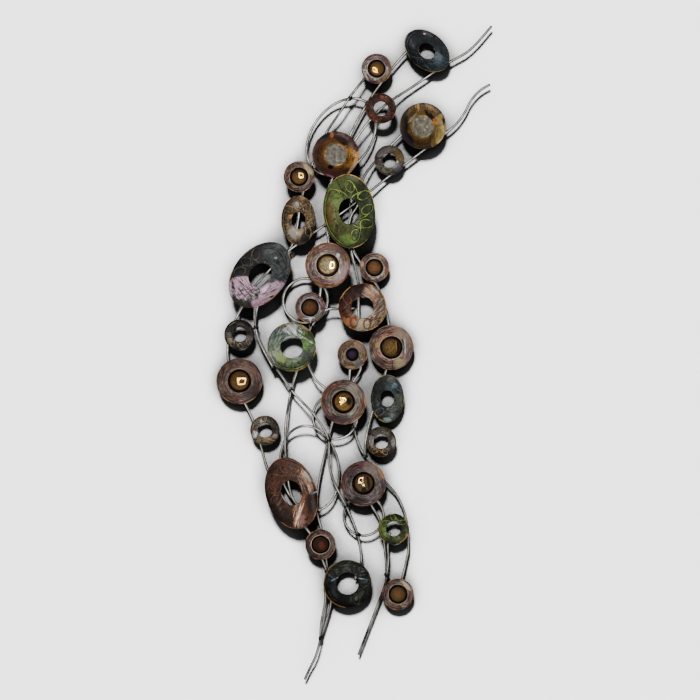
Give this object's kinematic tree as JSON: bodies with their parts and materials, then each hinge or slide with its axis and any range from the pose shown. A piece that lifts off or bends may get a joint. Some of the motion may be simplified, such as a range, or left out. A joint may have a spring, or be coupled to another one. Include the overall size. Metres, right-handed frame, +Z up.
{
  "type": "metal wall sculpture",
  "caption": "Tall S-shaped wall sculpture of bent steel wires and wire loops with dished ring, bowl and eye plates in coloured patinas welded on the front.",
  "frame": {"origin": "on the back face of the upper hanger, where it lies flat on the wall", "axes": "+Z up, +Y into the wall, +X to the viewer's right; the plates face -Y"},
  "size_m": [0.5145, 0.0584, 1.2204],
  "materials": {
    "eye_plate": "spun mauve-brown patina with concentric lines, clear lacquer",
    "dome": "high-gloss amber-brown bronze lacquer",
    "bowl_left": "rust brown and amber patina with a grey middle",
    "bowl_right": "amber and dark brown heat patina with a grey middle",
    "hanger": "plain dark steel strap",
    "wire": "dark gunmetal steel wire, clear lacquer",
    "oval_ring_blue": "mottled blue-black patina, clear lacquer",
    "oval_ring_bronze": "copper-brown patina with raised loops",
    "oval_ring_charcoal": "charcoal patina with lilac-pink patches",
    "oval_ring_green": "moss green patina with raised yellow-green loops",
    "oval_ring_tan": "tan and grey patina with dark patches",
    "oval_ring_teal": "dark teal patina with gold edges",
    "round_ring_black": "near-black green patina",
    "round_ring_copper": "copper patina from maroon to cream",
    "round_ring_sage": "sage green patina, clear lacquer",
    "small_ring_black": "near-black brown patina with tan blotches",
    "small_ring_copper": "maroon and copper patina, clear lacquer",
    "small_ring_grey": "grey-khaki patina, clear lacquer",
    "small_ring_khaki": "khaki, grey and amber patina",
    "small_ring_moss": "bright moss green patina with gold spots",
    "small_ring_olive": "olive and silver patina"
  },
  "bodies": {
    "root": {"big_eye_left": "eye_plate", "big_eye_left_dome": "dome", "big_eye_lower": "eye_plate", "big_eye_lower_dome": "dome", "big_eye_middle": "eye_plate", "big_eye_middle_dome": "dome", "big_eye_right": "eye_plate", "big_eye_right_dome": "dome", "big_eye_upper": "eye_plate", "big_eye_upper_dome": "dome", "bowl_left": "bowl_left", "bowl_right": "bowl_right", "hanger_lower": "hanger", "hanger_upper": "hanger", "loop_bottom": "wire", "loop_left": "wire", "loop_lower": "wire", "loop_middle": "wire", "loop_top": "wire", "oval_ring_blue": "oval_ring_blue", "oval_ring_bronze": "oval_ring_bronze", "oval_ring_charcoal": "oval_ring_charcoal", "oval_ring_green": "oval_ring_green", "oval_ring_tan": "oval_ring_tan", "oval_ring_teal": "oval_ring_teal", "round_ring_black": "round_ring_black", "round_ring_copper": "round_ring_copper", "round_ring_sage": "round_ring_sage", "small_eye_bottom": "eye_plate", "small_eye_bottom_dome": "dome", "small_eye_centre": "eye_plate", "small_eye_centre_dome": "dome", "small_eye_lower": "eye_plate", "small_eye_lower_dome": "dome", "small_eye_middle": "eye_plate", "small_eye_middle_dome": "dome", "small_eye_right": "eye_plate", "small_eye_right_dome": "dome", "small_eye_top": "eye_plate", "small_eye_top_dome": "dome", "small_eye_upper_left": "eye_plate", "small_eye_upper_left_dome": "dome", "small_ring_black": "small_ring_black", "small_ring_copper": "small_ring_copper", "small_ring_grey": "small_ring_grey", "small_ring_khaki": "small_ring_khaki", "small_ring_moss": "small_ring_moss", "small_ring_olive": "small_ring_olive", "stem_hairpin": "wire", "stem_high_tip": "wire", "stem_inner_curve": "wire", "stem_link": "wire", "stem_long_left": "wire", "stem_right_side": "wire", "stem_short_upper": "wire", "stem_twin_left": "wire", "stem_twin_right": "wire"}
  },
  "joints": []
}
